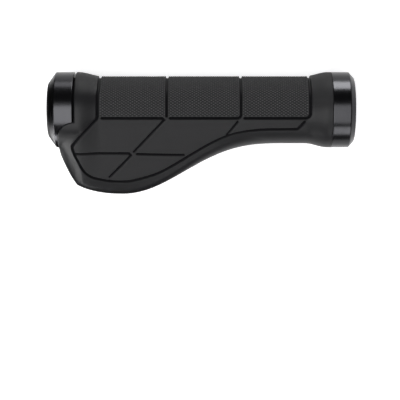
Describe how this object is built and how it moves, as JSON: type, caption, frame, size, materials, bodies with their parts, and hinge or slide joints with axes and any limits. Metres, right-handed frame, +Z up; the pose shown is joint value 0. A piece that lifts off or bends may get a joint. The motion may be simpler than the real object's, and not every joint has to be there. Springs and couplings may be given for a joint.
{
  "type": "handlebar grip",
  "caption": "Ergonomic lock-on handlebar grip with a palm wing, grooved rubber, split clamp rings and an end cap.",
  "frame": {"origin": "on the floor under the middle of the bounding box", "axes": "+X along the bar axis from the closed outer end to the open inner end, -Y towards the rim of the palm wing, +Z up"},
  "size_m": [0.13, 0.0518, 0.032],
  "materials": {
    "rubber": "matte black rubber, knurled on the panels over the tube",
    "sleeve_plastic": "black moulded plastic",
    "anodised_ring": "gloss black anodised",
    "bolt_steel": "black oxide",
    "cap_plastic": "black satin plastic"
  },
  "bodies": {
    "root": {"rubber_grip": "rubber", "core_sleeve": "sleeve_plastic", "inner_clamp_ring": "anodised_ring", "outer_clamp_ring": "anodised_ring", "inner_clamp_bolt": "bolt_steel", "outer_clamp_bolt": "bolt_steel", "end_cap": "cap_plastic"}
  },
  "joints": []
}
